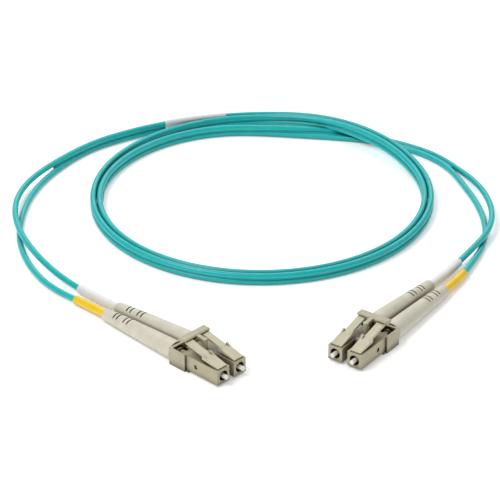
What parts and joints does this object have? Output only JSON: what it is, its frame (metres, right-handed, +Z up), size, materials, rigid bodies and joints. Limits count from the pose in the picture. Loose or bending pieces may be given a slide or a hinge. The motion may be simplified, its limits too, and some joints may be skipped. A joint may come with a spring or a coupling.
{
  "type": "fiber optic patch cord",
  "caption": "Duplex fibre optic patch cord: twin small-form-factor plugs with a shared release trigger at each end of a looped aqua zip cord.",
  "frame": {"origin": "on the table under the middle of the box around the two plug sets", "axes": "+X to the right along the row of the two plug sets, +Y towards the coil of cord, +Z up from the table"},
  "size_m": [0.1433, 0.1574, 0.0089],
  "materials": {
    "plug_plastic": "fine satin moulding",
    "latch_plastic": "satin moulding",
    "clip_plastic": "satin moulding",
    "stop_plastic": "satin moulding",
    "ferrule_ceramic": "polished zirconia",
    "flange_metal": "turned",
    "spring_steel": "drawn wire",
    "crimp_metal": "crimped",
    "fibre_buffer": "smooth buffer coat",
    "boot_rubber": "soft matt elastomer",
    "cord_jacket": "satin extruded jacket",
    "yellow_sleeve": "satin shrink sleeve",
    "white_sleeve": "satin shrink sleeve",
    "label_print": "plain film wrap"
  },
  "bodies": {
    "cord_and_plugs": {"left_yellow_plug_housing": "plug_plastic", "left_yellow_spring_stop": "stop_plastic", "left_yellow_crimp_eyelet": "crimp_metal", "left_yellow_boot": "boot_rubber", "left_yellow_spring": "spring_steel", "left_yellow_cord": "cord_jacket", "left_yellow_id_sleeve": "yellow_sleeve", "left_white_plug_housing": "plug_plastic", "left_white_spring_stop": "stop_plastic", "left_white_crimp_eyelet": "crimp_metal", "left_white_boot": "boot_rubber", "left_white_spring": "spring_steel", "left_white_cord": "cord_jacket", "left_white_id_sleeve": "white_sleeve", "left_duplex_clip": "clip_plastic", "left_trigger_pin": "clip_plastic", "right_yellow_plug_housing": "plug_plastic", "right_yellow_spring_stop": "stop_plastic", "right_yellow_crimp_eyelet": "crimp_metal", "right_yellow_boot": "boot_rubber", "right_yellow_spring": "spring_steel", "right_yellow_cord": "cord_jacket", "right_yellow_id_sleeve": "yellow_sleeve", "right_white_plug_housing": "plug_plastic", "right_white_spring_stop": "stop_plastic", "right_white_crimp_eyelet": "crimp_metal", "right_white_boot": "boot_rubber", "right_white_spring": "spring_steel", "right_white_cord": "cord_jacket", "right_white_id_sleeve": "white_sleeve", "right_duplex_clip": "clip_plastic", "right_trigger_pin": "clip_plastic", "cord_coil": "cord_jacket", "cord_label": "label_print"},
    "left_yellow_ferrule_unit": {"left_yellow_ferrule": "ferrule_ceramic", "left_yellow_ferrule_flange": "flange_metal", "left_yellow_buffered_fibre": "fibre_buffer"},
    "left_yellow_latch": {"left_yellow_latch": "latch_plastic"},
    "left_white_ferrule_unit": {"left_white_ferrule": "ferrule_ceramic", "left_white_ferrule_flange": "flange_metal", "left_white_buffered_fibre": "fibre_buffer"},
    "left_white_latch": {"left_white_latch": "latch_plastic"},
    "left_trigger": {"left_trigger": "clip_plastic"},
    "right_yellow_ferrule_unit": {"right_yellow_ferrule": "ferrule_ceramic", "right_yellow_ferrule_flange": "flange_metal", "right_yellow_buffered_fibre": "fibre_buffer"},
    "right_yellow_latch": {"right_yellow_latch": "latch_plastic"},
    "right_white_ferrule_unit": {"right_white_ferrule": "ferrule_ceramic", "right_white_ferrule_flange": "flange_metal", "right_white_buffered_fibre": "fibre_buffer"},
    "right_white_latch": {"right_white_latch": "latch_plastic"},
    "right_trigger": {"right_trigger": "clip_plastic"}
  },
  "joints": [
    {"name": "left_yellow_ferrule_slide", "type": "slide", "parent": "cord_and_plugs", "child": "left_yellow_ferrule_unit", "axis": [0.7133, -0.7009, 0], "range_m": [-0.0008, 0], "stiffness_N_per_m": 5, "springref_m": 0.0005, "deforming": ["left_yellow_spring"]},
    {"name": "left_yellow_latch_press", "type": "hinge", "parent": "cord_and_plugs", "child": "left_yellow_latch", "pos_m": [-0.01557, -0.02351, 0.00517], "axis": [-0.7009, -0.7133, 0], "range_deg": [0, 6.5]},
    {"name": "left_white_ferrule_slide", "type": "slide", "parent": "cord_and_plugs", "child": "left_white_ferrule_unit", "axis": [0.7133, -0.7009, 0], "range_m": [-0.0008, 0], "stiffness_N_per_m": 5, "springref_m": 0.0005, "deforming": ["left_white_spring"]},
    {"name": "left_white_latch_press", "type": "hinge", "parent": "cord_and_plugs", "child": "left_white_latch", "pos_m": [-0.01119, -0.01905, 0.00517], "axis": [-0.7009, -0.7133, 0], "range_deg": [0, 6.5]},
    {"name": "left_trigger_press", "type": "hinge", "parent": "cord_and_plugs", "child": "left_trigger", "pos_m": [-0.01751, -0.01722, 0.0046], "axis": [-0.7009, -0.7133, 0], "range_deg": [0, 12], "stiffness_Nm_per_rad": 0.001, "springref_deg": -5.73},
    {"name": "right_yellow_ferrule_slide", "type": "slide", "parent": "cord_and_plugs", "child": "right_yellow_ferrule_unit", "axis": [-0.5779, -0.8161, 0], "range_m": [-0.0008, 0], "stiffness_N_per_m": 5, "springref_m": 0.0005, "deforming": ["right_yellow_spring"]},
    {"name": "right_yellow_latch_press", "type": "hinge", "parent": "cord_and_plugs", "child": "right_yellow_latch", "pos_m": [0.02132, -0.01565, 0.00517], "axis": [-0.8161, 0.5779, 0], "range_deg": [0, 6.5]},
    {"name": "right_white_ferrule_slide", "type": "slide", "parent": "cord_and_plugs", "child": "right_white_ferrule_unit", "axis": [-0.5779, -0.8161, 0], "range_m": [-0.0008, 0], "stiffness_N_per_m": 5, "springref_m": 0.0005, "deforming": ["right_white_spring"]},
    {"name": "right_white_latch_press", "type": "hinge", "parent": "cord_and_plugs", "child": "right_white_latch", "pos_m": [0.01622, -0.01204, 0.00517], "axis": [-0.8161, 0.5779, 0], "range_deg": [0, 6.5]},
    {"name": "right_trigger_press", "type": "hinge", "parent": "cord_and_plugs", "child": "right_trigger", "pos_m": [0.02212, -0.00911, 0.0046], "axis": [-0.8161, 0.5779, 0], "range_deg": [0, 12], "stiffness_Nm_per_rad": 0.001, "springref_deg": -5.73}
  ],
  "couplings": [
    {"joint": "left_yellow_latch_press", "follows": "left_trigger_press", "ratio": 0.53},
    {"joint": "left_white_latch_press", "follows": "left_trigger_press", "ratio": 0.53},
    {"joint": "right_yellow_latch_press", "follows": "right_trigger_press", "ratio": 0.53},
    {"joint": "right_white_latch_press", "follows": "right_trigger_press", "ratio": 0.53}
  ]
}
